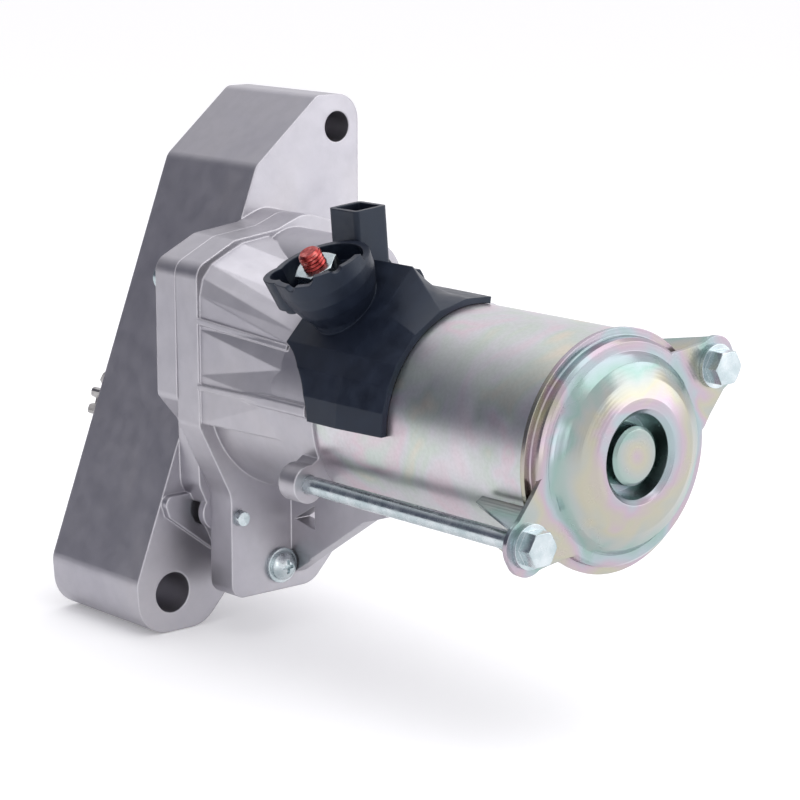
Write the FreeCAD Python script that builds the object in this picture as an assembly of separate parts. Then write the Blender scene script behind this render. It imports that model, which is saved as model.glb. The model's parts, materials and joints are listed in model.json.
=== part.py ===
import FreeCAD, Part
import math
import os
from FreeCAD import Vector, Rotation, Placement

# Offset gear-reduction starter motor, millimetres.
# +Y runs forward, out of the mounting face and towards the drive pinion, +X is to the right when
# looking forward and +Z is up.  The origin is where the armature axis meets the mounting face.

# ---------------------------------------------------------------- lengths along the motor axis
housing_depth = 52.0          # front housing block, mounting face to the back of the ears
housing_flange_t = 11.0
case_flange_t = 12.0
case_length = 67.0            # gear case, parting plane to yoke joint
yoke_length = 97.4
sheet = 1.6                   # pressed-steel rear cover
front_wall = 12.0

# ---------------------------------------------------------------- radii about the motor axis
yoke_r = 37.0
yoke_wall = 3.0
rim_r = 38.0
case_r = 38.0
case_wall = 3.5

# ---------------------------------------------------------------- axes in the XZ plane
gear_module = 1.25
drive_teeth = 10
clutch_teeth = 30
profile_shift = 0.4
output_angle = 248.9          # direction from the motor axis to the output axis, degrees
solenoid_x = -1.0
solenoid_z = 35.0
upper_hole_x = 37.2
upper_hole_z = 82.0
upper_hole_r = 5.5
lower_hole_x = -37.7
lower_hole_z = -75.0
lower_hole_r = 7.2

# ---------------------------------------------------------------- fits
running_gap = 0.04            # radial clearance of a shaft in its bearing
side_gap = 0.3                # clearance between faces that pass each other
seat_gap = 0.05               # radial clearance of a part dropped into its seat
screw_gap = 0.25              # radial clearance of a screw shank in a through hole

# ---------------------------------------------------------------- armature
core_r = 26.2
slots = 14
slot_w = 3.0
slot_depth = 11.0
end_turn = 8.0
commutator_r = 15.0
commutator_length = 17.0
shaft_r = 5.0
core_bore_r = 6.5
magnet_r = 33.9
magnet_t = 7.0
magnet_span = 76.0
magnets_count = 4
rear_journal_r = 4.0
rear_bush_r = 7.6
bearing_r = 13.0
bearing_width = 8.0
balls = 8
ball_r = 2.0

# ---------------------------------------------------------------- brush gear
brush_w = 8.0
brush_length = 12.0
brush_height = 11.0
brush_wall = 1.2
brush_plate_t = 3.0

# ---------------------------------------------------------------- solenoid
can_r = 13.5
can_wall = 1.5
plunger_r = 6.5
plunger_bore_r = 4.2
plunger_length = 36.0
travel = 10.0                 # solenoid stroke and pinion stroke
stop_gap = 0.2                # left between plunger and core at full stroke
rod_r = 2.0
hook_r = 3.0
hook_flange_r = 4.3
contact_w = 19.0
contact_h = 9.0
contact_t = 1.5

# ---------------------------------------------------------------- clutch, output shaft and pinion
clutch_width = 16.0
sleeve_r = 10.0
sleeve_length = 34.0
sleeve_journal_r = 8.8
roller_r = 2.0
rollers = 6
spline_minor_r = 6.0
spline_major_r = 6.9
splines = 8
output_journal_r = 7.0
nose_bush_r = 9.0
pinion_module = 2.117
pinion_teeth = 12
pinion_tip_r = 15.2
pinion_width = 16.0
pinion_rear = 4.0
pinion_bore_r = 6.5
collar_r = 13.0
collar_groove_r = 9.5
collar_width = 12.0
fork_pad_r = 2.8
hook_pad_r = 2.4
pivot_r = 3.0

# ---------------------------------------------------------------- fasteners
bolt_circle_r = 45.0
bolt_angle = 209.5
bolt_r = 3.0
bolt_head_af = 10.0
bolt_head_h = 6.0
bolt_flange_r = 7.0
ear_r = 9.0
lug_length = 8.0              # threaded lugs on the gear case that take the through bolts
screw_r = 2.5
screw_head_r = 5.0
rear_screw_r = 3.0
rear_screw_head_r = 6.2
stud_r = 4.0
stud_foot = 1.5
stud_top = 22.0
stud_offset = 3.5             # the stud stands this far in front of the cup's centre
relief_width = 0.8            # groove above the nut, where the free end starts
relief_depth = 0.7
nut_height = 8.0
nut_af = 13.0
nut_flange_r = 8.6

# ---------------------------------------------------------------- terminal block
block_gap = 0.15
block_skirt = 36.0            # how far the block reaches back over the yoke
block_roof = 16.0             # how far its full-height part reaches back
connector_x = -7.5
connector_top = 64.5
connector_w = 13.5
connector_l = 14.0
connector_wall = 1.7
connector_tilt = 5.0
cup_r = 16.2
cup_wall = 2.2
cup_height = 17.5
cup_floor = 8.5
cup_lean = 122.0              # direction of the stud, degrees from +X towards +Z
rim_lean = 111.0

# ---------------------------------------------------------------- derived places
y_ear = -housing_depth
y_part = y_ear - housing_flange_t
y_case_flange = y_part - case_flange_t
y_case_rear = y_part - case_length
y_yoke_rear = y_case_rear - yoke_length
y_rim = y_yoke_rear - sheet
core_front = y_case_rear - 30.0
core_length = yoke_length - 47.4
commutator_front = y_case_rear - 5.5
can_rear = y_case_rear + travel + 8.0
can_length = y_case_flange - 3.0 - can_rear
block_rear = y_case_rear - block_skirt
block_ridge = y_case_rear - block_roof
block_front = can_rear - 0.5
connector_y = block_front - 6.9
clutch_rear = y_part - 7.0
sleeve_front = y_ear + 4.0
centre_distance = gear_module * (drive_teeth + clutch_teeth) / 2
out_x = centre_distance * math.cos(math.radians(output_angle))
out_z = centre_distance * math.sin(math.radians(output_angle))
bolt_x = bolt_circle_r * math.cos(math.radians(bolt_angle))
bolt_z = bolt_circle_r * math.sin(math.radians(bolt_angle))
lever_dx = solenoid_x - out_x
lever_dz = solenoid_z - out_z
lever_span = math.hypot(lever_dx, lever_dz)
lever_tilt = math.degrees(math.atan2(lever_dx, lever_dz))
lever_arm = lever_span / 2
case_inner_r = case_r - case_wall
gear_room_r = gear_module * (clutch_teeth / 2 + 1 - profile_shift) + 0.9
drive_room_r = gear_module * (drive_teeth / 2 + 1 + profile_shift) + 1.6
bearing_rear = y_case_flange - bearing_width - 1.0
collar_rear = sleeve_front + 3.0
groove_y = collar_rear + collar_width / 2
pivot_y = groove_y + travel / 2
hook_y = pivot_y + travel / 2
core_face = can_rear + 3.8
plunger_rear = core_face + travel + stop_gap
plate_y = can_rear - 3.5
brush_y = commutator_front - commutator_length / 2
ball_pitch_r = (bearing_r + shaft_r) / 2
AXIS = Vector(0, 1, 0)


# ================================================================ building helpers
def cyl(radius, y0, y1, x=0.0, z=0.0):
    """Cylinder parallel to the motor axis from y0 to y1."""
    return Part.makeCylinder(radius, y1 - y0, Vector(x, y0, z), AXIS)


def tube(outer, inner, y0, y1, x=0.0, z=0.0):
    return cyl(outer, y0, y1, x, z).cut(cyl(inner, y0 - 1, y1 + 1, x, z))


def box(x0, x1, y0, y1, z0, z1):
    return Part.makeBox(x1 - x0, y1 - y0, z1 - z0, Vector(x0, y0, z0))


def spin(shape, degrees, x=0.0, z=0.0):
    """Copy of the shape turned about an axis parallel to the motor axis."""
    turned = shape.copy()
    turned.rotate(Vector(x, 0, z), AXIS, -degrees)
    return turned


def polar(radius, degrees, y):
    angle = math.radians(degrees)
    return Vector(radius * math.cos(angle), y, radius * math.sin(angle))


def ring_of(shape, count, x=0.0, z=0.0, start=0.0):
    return [spin(shape, start + 360.0 * i / count, x, z) for i in range(count)]


def group(shapes):
    return Part.makeCompound(shapes)


def one(shape):
    """The single solid of a boolean result, with split faces merged."""
    return shape.removeSplitter().Solids[0]


def plate(corners, y0, y1):
    """Plate along Y whose outline is a list of (x, z, corner radius)."""
    count = len(corners)
    edges = []
    joints = []
    for i in range(count):
        x, z, radius = corners[i]
        here = Vector(x, y0, z)
        to_last = (Vector(corners[i - 1][0], y0, corners[i - 1][1]) - here).normalize()
        following = corners[(i + 1) % count]
        to_next = (Vector(following[0], y0, following[1]) - here).normalize()
        half = to_last.getAngle(to_next) / 2
        back = radius / math.tan(half)
        first = here + to_last * back
        last = here + to_next * back
        bisector = (to_last + to_next).normalize()
        middle = here + bisector * (radius / math.sin(half) - radius)
        joints.append((first, middle, last, radius))
    for i in range(count):
        first, middle, last, radius = joints[i]
        if radius > 0:
            edges.append(Part.Arc(first, middle, last).toShape())
        edges.append(Part.LineSegment(last, joints[(i + 1) % count][0]).toShape())
    face = Part.Face(Part.Wire(edges))
    return face.extrude(Vector(0, y1 - y0, 0))


def turned(profile, x=0.0, z=0.0):
    """Solid of revolution of a closed (radius, y) polygon about an axis at x, z."""
    points = [Vector(x + r, y, z) for r, y in profile]
    points.append(points[0])
    face = Part.Face(Part.makePolygon(points))
    return face.revolve(Vector(x, 0, z), AXIS, 360)


def gear(teeth, module, shift, tip_r, y0, y1, x, z, phase, backlash=0.1):
    """Involute spur gear; a tooth points along +X when phase is 0."""
    pitch_r = module * teeth / 2
    base_r = pitch_r * math.cos(math.radians(20))
    root_r = pitch_r - module * (1.25 - shift)
    inv20 = math.tan(math.radians(20)) - math.radians(20)
    thick = module * (math.pi / 2 + 2 * shift * math.tan(math.radians(20))) - backlash
    half_at_pitch = thick / (2 * pitch_r)
    start_r = max(base_r, root_r)
    flank = []
    for i in range(5):
        radius = start_r + (tip_r - start_r) * i / 4
        angle = math.acos(min(1.0, base_r / radius))
        flank.append((radius, half_at_pitch + inv20 - (math.tan(angle) - angle)))
    flank.insert(0, (root_r, flank[0][1] + 0.02))
    points = []
    for tooth in range(teeth):
        middle = math.radians(phase) + 2 * math.pi * tooth / teeth
        for radius, half in flank:
            points.append((radius, middle - half))
        for radius, half in reversed(flank):
            points.append((radius, middle + half))
    vectors = [Vector(x + r * math.cos(a), y0, z + r * math.sin(a)) for r, a in points]
    vectors.append(vectors[0])
    return Part.Face(Part.makePolygon(vectors)).extrude(Vector(0, y1 - y0, 0))


def spring(coil_r, wire_r, y0, y1, turns, x=0.0, z=0.0):
    """Helical compression spring along Y between two planes."""
    height = y1 - y0 - 2 * wire_r
    helix = Part.makeHelix(height / turns, height, coil_r)
    start = Vector(coil_r, 0, 0)
    profile = Part.Wire(Part.makeCircle(wire_r, start, Vector(0, 1, 0)))
    wire = Part.Wire(helix.Edges).makePipeShell([profile], True, True)
    solid = Part.Solid(wire) if wire.ShapeType == "Shell" else wire
    solid.rotate(Vector(0, 0, 0), Vector(1, 0, 0), -90)
    solid.translate(Vector(x, y0 + wire_r, z))
    return solid


def hexagon(across_flats, y0, y1, x=0.0, z=0.0):
    corner = across_flats / math.sqrt(3)
    points = [
        Vector(x + corner * math.cos(math.radians(60 * i)), y0, z + corner * math.sin(math.radians(60 * i)))
        for i in range(7)
    ]
    return Part.Face(Part.makePolygon(points)).extrude(Vector(0, y1 - y0, 0))


def lever_frame(shape):
    """Place a shape drawn with the output axis at the origin and the lever along +Z."""
    placed = shape.copy()
    placed.rotate(Vector(0, 0, 0), AXIS, lever_tilt)
    placed.translate(Vector(out_x, 0, out_z))
    return placed


# ================================================================ outlines (x, z, corner radius)
def left_wall_x(z):
    """The slanted left side of the front housing."""
    return -0.382 * (68.0 - z)


BLOCK_OUTLINE = [
    (28.5, 93.5, 4.0),
    (46.8, 93.5, 9.5),
    (46.8, 44.0, 14.0),
    (41.0, 24.0, 25.0),
    (41.0, -28.0, 26.0),
    (14.0, -66.0, 14.0),
    (-12.0, -76.0, 8.0),
    (lower_hole_x + 13.6, -89.0, 12.5),
    (lower_hole_x - 13.6, -89.0, 12.5),
    (left_wall_x(-70.0), -70.0, 8.0),
    (left_wall_x(70.5), 70.5, 6.0),
]
TOP_OUTLINE = [
    (-42.5, 42.0, 6.0),
    (-26.0, 50.0, 6.0),
    (-8.0, 52.0, 10.0),
    (4.0, 56.5, 12.0),
    (18.0, 52.5, 12.0),
    (35.0, 47.0, 8.0),
    (43.0, 24.0, 14.0),
    (43.0, -36.0, 10.0),
]
HOUSING_FLANGE_OUTLINE = TOP_OUTLINE + [
    (24.0, -54.0, 12.0),
    (-8.0, -74.5, 8.0),
    (-21.0, -62.0, 6.0),
    (-33.5, -36.0, 8.0),
    (-34.0, -14.0, 4.0),
    (-42.5, -4.0, 4.0),
]
CASE_FLANGE_OUTLINE = TOP_OUTLINE + [
    (26.0, -54.0, 12.0),
    (6.0, -74.5, 10.0),
    (-29.0, -74.5, 5.0),
    (-29.0, -38.0, 10.0),
    (-42.0, -12.0, 4.0),
]
EAR_STEP_OUTLINE = [
    (-43.0, -40.0, 3.0),
    (-40.5, -47.5, 1.0),
    (-22.0, -61.5, 1.0),
    (-8.0, -70.0, 4.0),
    (10.0, -60.0, 4.0),
    (10.0, -40.0, 4.0),
]
# front screws: pan heads on the front side of the housing flange, threaded into the case flange
# as (x, z, seat, tip); the upper hole is blind and the lower screw's end shows behind the flange
FRONT_SCREWS = [
    (-37.5, 36.0, y_ear, y_case_flange + 2.5),
    (-25.5, -46.0, y_part + 3.0, y_case_flange - 2.5),
]
# rear screws: flange heads on the back of the case flange, threaded into the front housing
REAR_SCREWS = [(-8.0, -65.6), (31.0, 38.0), (32.0, -38.0)]
DOWELS = [(-35.0, 12.0), (37.0, 8.0)]
# upper left of the gear case: the flange's square corner blends into the round case behind it
FLARE_CORNER = [
    (-42.5, -11.0),
    (-42.5, 6.0),
    (-42.5, 22.0),
    (-42.4, 34.0),
    (-41.0, 39.8),
    (-37.2, 44.2),
    (-31.0, 47.2),
    (-24.0, 50.2),
    (-12.0, 51.6),
]
# ribs along the round part, as (direction in degrees, where the rib ends)
SIDE_RIBS = [
    (178.0, y_case_rear + 2.0),
    (20.0, can_rear + 6.0),
    (-12.0, y_case_rear + 2.0),
]
FLARE_ANGLES = [197.0, 178.0, 161.0, 148.0, 141.0, 133.0, 124.0, 114.0, 101.0]


# ================================================================ castings
def front_housing():
    body = plate(BLOCK_OUTLINE, y_ear, 0)
    body = body.fuse(plate(HOUSING_FLANGE_OUTLINE, y_part, y_ear))
    body = body.fuse(plate(EAR_STEP_OUTLINE, y_ear - 3.0, y_ear))
    lug_x, lug_z, lug_y, _ = FRONT_SCREWS[1]
    body = body.fuse(cyl(6.5, y_part, lug_y, lug_x, lug_z))
    body = body.fuse(plate([(lug_x, lug_z + 6.5, 0), (-8, -30, 0), (-8, -60, 0), (lug_x, lug_z - 6.5, 0)],
                           y_part, lug_y))
    # head room in front of the lower lug
    body = body.cut(cyl(screw_head_r + 0.8, lug_y, y_ear, lug_x, lug_z))
    # gear room, lever room and plunger passage
    body = body.cut(cyl(gear_room_r, y_part - 1, sleeve_front + 1.5, out_x, out_z))
    body = body.cut(cyl(drive_room_r, y_part - 1, y_ear + 2.0))
    lever_room = Part.makeBox(35.0, 40.0, 37.5, Vector(-17.5, sleeve_front - 2.0, -18.0))
    narrow_room = Part.makeBox(20.0, 40.0, lever_span - 29.0, Vector(-10.0, sleeve_front - 2.0, 17.0))
    hook_room = Part.makeBox(17.0, 40.0, lever_span - 10.0, Vector(-8.5, sleeve_front - 2.0, 14.0))
    room = lever_room.fuse([narrow_room, hook_room])
    cutter = lever_frame(room).common(box(-100, 100, sleeve_front - 2.0, -front_wall, -100, 100))
    body = body.cut(cutter)
    body = body.cut(cyl(plunger_r + 1.0, y_part - 1, -front_wall, solenoid_x, solenoid_z))
    # nose bearing, seal seat and pivot pin bores
    body = body.cut(cyl(nose_bush_r, -front_wall - 1, 1, out_x, out_z))
    pin_bore = Part.makeCylinder(pivot_r, 42.0, Vector(-15.5, pivot_y, lever_arm), Vector(1, 0, 0))
    body = body.cut(lever_frame(pin_bore))
    # mounting holes
    body = body.cut(cyl(upper_hole_r, y_ear - 1, 1, upper_hole_x, upper_hole_z))
    body = body.cut(cyl(lower_hole_r, y_part, 1, lower_hole_x, lower_hole_z))
    for x, z, seat, _ in FRONT_SCREWS:
        body = body.cut(cyl(screw_r + screw_gap, y_part - 1, seat + 1, x, z))
    for x, z in REAR_SCREWS:
        body = body.cut(cyl(rear_screw_r, y_part - 1, y_part + 13.0, x, z))
    for x, z in DOWELS:
        body = body.cut(cyl(2.5, y_part - 1, y_part + 5.0, x, z))
    return one(body)


def side_rib(angle, y0, y1):
    """Low rib with rounded edges along the round part of the case."""
    rib = box(case_r - 1.5, case_r + 1.6, y0, y1, -2.2, 2.2)
    edges = []
    for edge in rib.Edges:
        room = edge.BoundBox
        if room.XMin > case_r and room.YMax - room.YMin > 5:
            edges.append(edge)
    return spin(rib.makeFillet(1.2, edges), angle)


def flare(inset):
    """Blend from the flange's corner to the round case, drawn in by an inset."""
    scale = 1.0 - inset / abs(FLARE_CORNER[0][0])
    front = [Vector(-2.0, y_case_flange + 0.5, 8.0)]
    back = [Vector(-2.0, can_rear, 8.0)]
    front += [Vector(x * scale, y_case_flange + 0.5, z * scale) for x, z in FLARE_CORNER]
    back += [polar(case_r + 1.2 - inset, angle, can_rear) for angle in FLARE_ANGLES]
    faces = [Part.Face(Part.makePolygon(points + [points[0]])) for points in (front, back)]
    for i in range(len(front)):
        j = (i + 1) % len(front)
        faces.append(Part.Face(Part.makePolygon([front[i], front[j], back[j], front[i]])))
        faces.append(Part.Face(Part.makePolygon([front[i], back[j], back[i], front[i]])))
    solid = Part.Solid(Part.Shell(faces))
    if solid.Volume < 0:
        solid.reverse()
    return solid


def gusset():
    """Web under the case that ties the lower lobe of the flange to the case's rear end."""
    low = -70.0
    points = [
        Vector(-3, y_case_flange + 1, low),
        Vector(-3, y_case_rear + 16.0, -44.0),
        Vector(-3, y_case_rear + 4.0, -40.0),
        Vector(-3, y_case_rear + 4.0, -33.0),
        Vector(-3, y_case_flange + 1, -33.0),
    ]
    web = Part.Face(Part.makePolygon(points + [points[0]])).extrude(Vector(6.5, 0, 0))
    hole = [
        Vector(-4, y_case_flange - 2.0, -49.5),
        Vector(-4, y_case_flange - 13.0, -51.5),
        Vector(-4, y_case_flange - 13.0, -43.0),
    ]
    window = Part.Face(Part.makePolygon(hole + [hole[0]])).extrude(Vector(9, 0, 0))
    return web.cut(window)


def gear_case():
    body = cyl(case_r, y_case_rear, y_part)
    body = body.fuse(plate(CASE_FLANGE_OUTLINE, y_case_flange, y_part))
    bump_r = can_r + seat_gap + case_wall
    body = body.fuse(cyl(bump_r, can_rear, y_part, solenoid_x, solenoid_z))
    lug_front = y_case_rear + lug_length
    for side in (1, -1):
        x = side * bolt_x
        z = side * bolt_z
        lug = cyl(6.3, y_case_rear, lug_front, x, z)
        web = plate([(x, z - side * 5.5, 0), (x, z + side * 5.5, 0), (0, side * 8, 0), (0, -side * 8, 0)],
                    y_case_rear, lug_front)
        body = body.fuse([lug, web])
    body = body.fuse(flare(1.2))
    for angle in (150.0, 177.5):
        rib = spin(box(30.0, 70.0, can_rear, y_case_flange + 0.5, -0.9, 0.9), angle)
        body = body.fuse(rib.common(flare(0.1)))
    for angle, back in SIDE_RIBS:
        body = body.fuse(side_rib(angle, back, y_case_flange + 1))
    body = body.fuse(gusset())
    # inner rooms
    body = body.cut(cyl(case_inner_r, y_case_rear - 1, bearing_rear - 1.5))
    body = body.cut(cyl(can_r + seat_gap, can_rear - 1, can_rear + can_length + 0.2, solenoid_x, solenoid_z))
    body = body.cut(cyl(can_r - 1.0, y_case_rear - 1, can_rear + 1, solenoid_x, solenoid_z))
    body = body.cut(cyl(plunger_r + 0.6, can_rear, y_part + 1, solenoid_x, solenoid_z))
    body = body.cut(cyl(gear_room_r, clutch_rear - 1.0, y_part + 1, out_x, out_z))
    body = body.cut(cyl(drive_room_r, clutch_rear - 3.0, y_part + 1))
    body = body.cut(cyl(bearing_r, bearing_rear, y_case_flange + 1))
    body = body.cut(cyl(bearing_r - 3.0, bearing_rear - 5.0, y_part))
    body = body.cut(cyl(sleeve_journal_r + 1.6, sleeve_front - sleeve_length - 0.6, y_part, out_x, out_z))
    for side in (1, -1):
        body = body.cut(cyl(bolt_r, y_case_rear - 1, lug_front + 1, side * bolt_x, side * bolt_z))
    for x, z, _, tip in FRONT_SCREWS:
        body = body.cut(cyl(screw_r, tip - 0.5, y_part + 1, x, z))
    for x, z in REAR_SCREWS:
        body = body.cut(cyl(rear_screw_r + screw_gap, y_case_flange - 1, y_part + 1, x, z))
        body = body.cut(cyl(rear_screw_head_r + 0.6, y_case_flange - 10.0, y_case_flange, x, z))
    for x, z in DOWELS:
        body = body.cut(cyl(2.5, y_part - 5.0, y_part + 1, x, z))
    return one(body)


# ================================================================ motor shell
def yoke_tube():
    return tube(yoke_r, yoke_r - yoke_wall, y_yoke_rear, y_case_rear)


def cover_ear(side):
    """Tongue that carries a through bolt, with its two walls bent forward along the yoke."""
    level = y_rim - 4.0
    x = -bolt_circle_r
    flat = plate([(-28.0, -16.5, 3.0), (-36.0, -12.5, 5.0), (x, -ear_r, 4.0), (x - ear_r, -ear_r, 8.0),
                  (x - ear_r, ear_r, 8.0), (x, ear_r, 4.0), (-36.0, 12.5, 5.0), (-28.0, 16.5, 3.0)],
                 level, level + sheet)
    flat = flat.cut(cyl(bolt_r + screw_gap, level - 1, level + 3, x, 0))
    pieces = [flat]
    for wall in (1, -1):
        z0 = wall * (ear_r - sheet)
        points = [
            Vector(x - 3.0, level + sheet / 2, z0),
            Vector(-rim_r - 0.4, level + sheet / 2, z0),
            Vector(-rim_r - 0.4, level + 22.0, z0),
            Vector(-rim_r - 3.4, level + 22.0, z0),
        ]
        wall_face = Part.Face(Part.makePolygon(points + [points[0]]))
        pieces.append(wall_face.extrude(Vector(0, 0, wall * sheet)))
    ear = pieces[0].fuse(pieces[1:])
    turn = bolt_angle - 180.0 if side > 0 else bolt_angle
    return spin(ear, turn)


def rear_cover():
    level = y_rim - 4.0
    outer = [
        (0, level - 5.0), (8.2, level - 5.0), (9.3, level - 4.2), (9.6, level + 1.6), (12.0, level + 1.8),
        (13.2, level - 5.6), (14.8, level - 7.0), (18.0, level - 6.9), (24.0, level - 5.6),
        (28.6, level - 3.4), (30.6, level - 0.8), (31.4, level), (34.2, level), (35.2, level + 1.0),
        (35.4, y_rim - 0.3), (35.8, y_rim), (rim_r, y_rim),
    ]
    inner = [
        (rim_r, y_rim + sheet), (34.0, y_rim + sheet), (33.8, level + sheet), (30.6, level + sheet),
        (29.2, level + 0.4), (27.4, level - 1.9), (23.4, level - 4.0), (17.8, level - 5.3),
        (15.4, level - 5.4), (14.6, level - 4.6), (13.4, level + 3.4), (8.2, level + 3.2),
        (7.6, level - 3.0), (0, level - 3.4),
    ]
    body = turned(outer + inner)
    body = body.fuse([cover_ear(1), cover_ear(-1)])
    for side in (1, -1):
        body = body.cut(cyl(bolt_r + screw_gap, level - 1, level + 3, side * bolt_x, side * bolt_z))
    bore = cyl(rear_bush_r, level - 3.4, level + 3.2)
    body = body.cut(bore)
    return one(body)


def through_bolts():
    bolts = []
    level = y_rim - 4.0
    for side in (1, -1):
        x = side * bolt_x
        z = side * bolt_z
        head = cyl(bolt_flange_r, level - 1.4, level, x, z)
        head = head.fuse(hexagon(bolt_head_af, level - bolt_head_h, level - 1.0, x, z))
        dish = Part.makeSphere(14.0, Vector(x, level - bolt_head_h + 13.0, z))
        head = head.common(dish.fuse(cyl(20, level - 4.0, level + 1, x, z)))
        shank = cyl(bolt_r, level - 1, y_case_rear + lug_length + 1.0, x, z)
        bolts.append(one(head.fuse(shank)))
    return group(bolts)


def screw(shank_r, head_r, head_h, length, flange=0.0):
    """Screw with its head at negative Y, seated at y = 0, shank along +Y."""
    head = cyl(head_r, -head_h, 0)
    dome = Part.makeSphere(head_r * 1.25, Vector(0, head_r * 1.25 - head_h, 0))
    head = head.common(dome)
    if flange:
        head = head.fuse(cyl(flange, -1.3, 0))
    recess = box(-head_r * 0.5, head_r * 0.5, -head_h - 1, -head_h + 1.6, -0.6, 0.6)
    head = head.cut(recess).cut(spin(recess, 90))
    return one(head.fuse(cyl(shank_r, -0.5, length)))


def front_screws():
    screws = []
    for x, z, seat, tip in FRONT_SCREWS:
        item = screw(screw_r, screw_head_r, 4.0, seat - tip)
        item.rotate(Vector(0, 0, 0), Vector(0, 0, 1), 180)
        item.translate(Vector(x, seat, z))
        screws.append(item)
    return group(screws)


def rear_screws():
    screws = []
    for x, z in REAR_SCREWS:
        item = screw(rear_screw_r, rear_screw_head_r * 0.8, 4.8, case_flange_t + 12.0, rear_screw_head_r)
        item.translate(Vector(x, y_case_flange, z))
        screws.append(item)
    return group(screws)


def dowels():
    return group([cyl(2.5, y_part - 5.0, y_part + 5.0, x, z) for x, z in DOWELS])


# ================================================================ terminal block
RIDGE_FOOT = polar(case_r + 2.4, 147.0, 0)
RIDGE_TOP = polar(case_r + 10.6, 100.7, 0)
SLOPE_UP = (RIDGE_TOP - RIDGE_FOOT).normalize()
CUP_S = 16.5
CUP_Y = y_case_rear + 2.7
CUP_AXIS = polar(1.0, cup_lean, 0)
CUP_BASE = RIDGE_FOOT + SLOPE_UP * CUP_S + Vector(0, CUP_Y, 0)
CUP_SIDE = polar(1.0, cup_lean - 90.0, 0)
STUD_BASE = CUP_BASE + AXIS * stud_offset


def block_body():
    middle = (RIDGE_FOOT + RIDGE_TOP) * 0.5
    thick = [polar(case_r + 1.6, 80, 0), polar(case_r + 1.8, 90, 0), RIDGE_TOP, middle, RIDGE_FOOT,
             polar(case_r + 3.2, 158, 0), polar(case_r + 3.4, 170, 0), polar(case_r + 3.4, 181, 0)]
    thin = [polar(yoke_r + 2.4, a, 0) for a in (80, 95, 112, 130, 147, 158, 170, 181)]

    def section(points, y):
        moved = [Vector(p.x, y, p.z) for p in points]
        inner = [polar(yoke_r - 4.0, a, y) for a in (181, 170, 158, 147, 130, 112, 95, 80)]
        ring = moved + inner
        return Part.makePolygon(ring + [ring[0]])

    front = Part.Face(section(thick, block_ridge)).extrude(Vector(0, block_front - block_ridge, 0))
    slope = Part.makeLoft([section(thin, block_rear), section(thick, block_ridge)], True, True)
    body = front.fuse(slope)
    # the low front corner sweeps back along the case
    sweep = Part.Wire([
        Part.Arc(Vector(-60, y_case_rear - 2.0, -8.0), Vector(-60, y_case_rear + 2.5, 10.0),
                 Vector(-60, block_front, 21.5)).toShape(),
        Part.LineSegment(Vector(-60, block_front, 21.5), Vector(-60, block_front + 9, 21.5)).toShape(),
        Part.LineSegment(Vector(-60, block_front + 9, 21.5), Vector(-60, block_front + 9, -8.0)).toShape(),
        Part.LineSegment(Vector(-60, block_front + 9, -8.0), Vector(-60, y_case_rear - 2.0, -8.0)).toShape(),
    ])
    return body.cut(Part.Face(sweep).extrude(Vector(34, 0, 0)))


def along_cup(radius, low, high):
    """Cylinder on the cup's axis between two heights above its foot."""
    return Part.makeCylinder(radius, high - low, CUP_BASE + CUP_AXIS * low, CUP_AXIS)


def along_stud(radius, low, high):
    """Cylinder on the battery stud's axis between two heights above the cup's foot."""
    return Part.makeCylinder(radius, high - low, STUD_BASE + CUP_AXIS * low, CUP_AXIS)


def turned_on(base, profile):
    """Solid of revolution of (radius, height) points about the cup's or the stud's axis."""
    points = [base + CUP_SIDE * r + CUP_AXIS * h for r, h in profile]
    face = Part.Face(Part.makePolygon(points + [points[0]]))
    return face.revolve(base, CUP_AXIS, 360)


def cup_sector(start, end, low):
    """Wedge above a height, between two directions counted from straight back towards the slope's foot."""
    reach = 2 * cup_r
    points = [CUP_BASE + CUP_AXIS * low]
    for i in range(7):
        angle = math.radians(start + (end - start) * i / 6)
        points.append(points[0] - AXIS * (reach * math.cos(angle)) - CUP_SIDE * (reach * math.sin(angle)))
    return Part.Face(Part.makePolygon(points + [points[0]])).extrude(CUP_AXIS * 30.0)


def above_rim(raised):
    """Everything above the rim's plane, which leans less than the stud does."""
    return Part.makeCylinder(50.0, 30.0, CUP_BASE + CUP_AXIS * (cup_height + raised), polar(1.0, rim_lean, 0))


def across_rim(radius, direction, raised):
    """Round cutter laid across the rim in one direction."""
    angle = math.radians(direction)
    outward = AXIS * -math.cos(angle) - CUP_SIDE * math.sin(angle)
    level = cup_height + raised + cup_r * math.sin(angle) * math.tan(math.radians(cup_lean - rim_lean))
    return Part.makeCylinder(radius, 14.0, CUP_BASE + CUP_AXIS * level + outward * (cup_r - 9.0), outward)


def spout(radius, low, high):
    """Rounded corner of the cup that lets the cable eye's barrel pass."""
    shape = along_cup(radius, low, high)
    shape.translate(CUP_SIDE * -9.0 + AXIS * 8.6)
    return shape


def cup():
    wall = turned_on(CUP_BASE, [(0, -7.0), (10.4, -7.0), (11.4, 0), (14.0, 5.5), (15.6, 10.5), (cup_r, 15.0),
                                (cup_r, 34.0), (0, 34.0)])
    corner = spout(6.6, 9.0, 34.0).fuse(spout(5.0, 6.5, 10.0))
    low = wall.fuse(corner).cut(above_rim(0.0))
    # the near side of the wall is raised to guard the nut
    guard = wall.common(cup_sector(-21.0, 55.0, cup_height - 4.0)).cut(above_rim(2.8))
    guard = guard.cut(across_rim(2.4, 17.0, 4.0)).cut(across_rim(3.2, 57.0, 3.0))
    return low.fuse(guard)


def cup_room():
    """Space inside the cup, with the small cable notch."""
    room = along_cup(cup_r - cup_wall, cup_floor, 44.0)
    corner = spout(6.6 - cup_wall, cup_floor + 2.0, 44.0)
    return room.fuse([corner, across_rim(2.0, 80.0, 0.3)])


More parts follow.
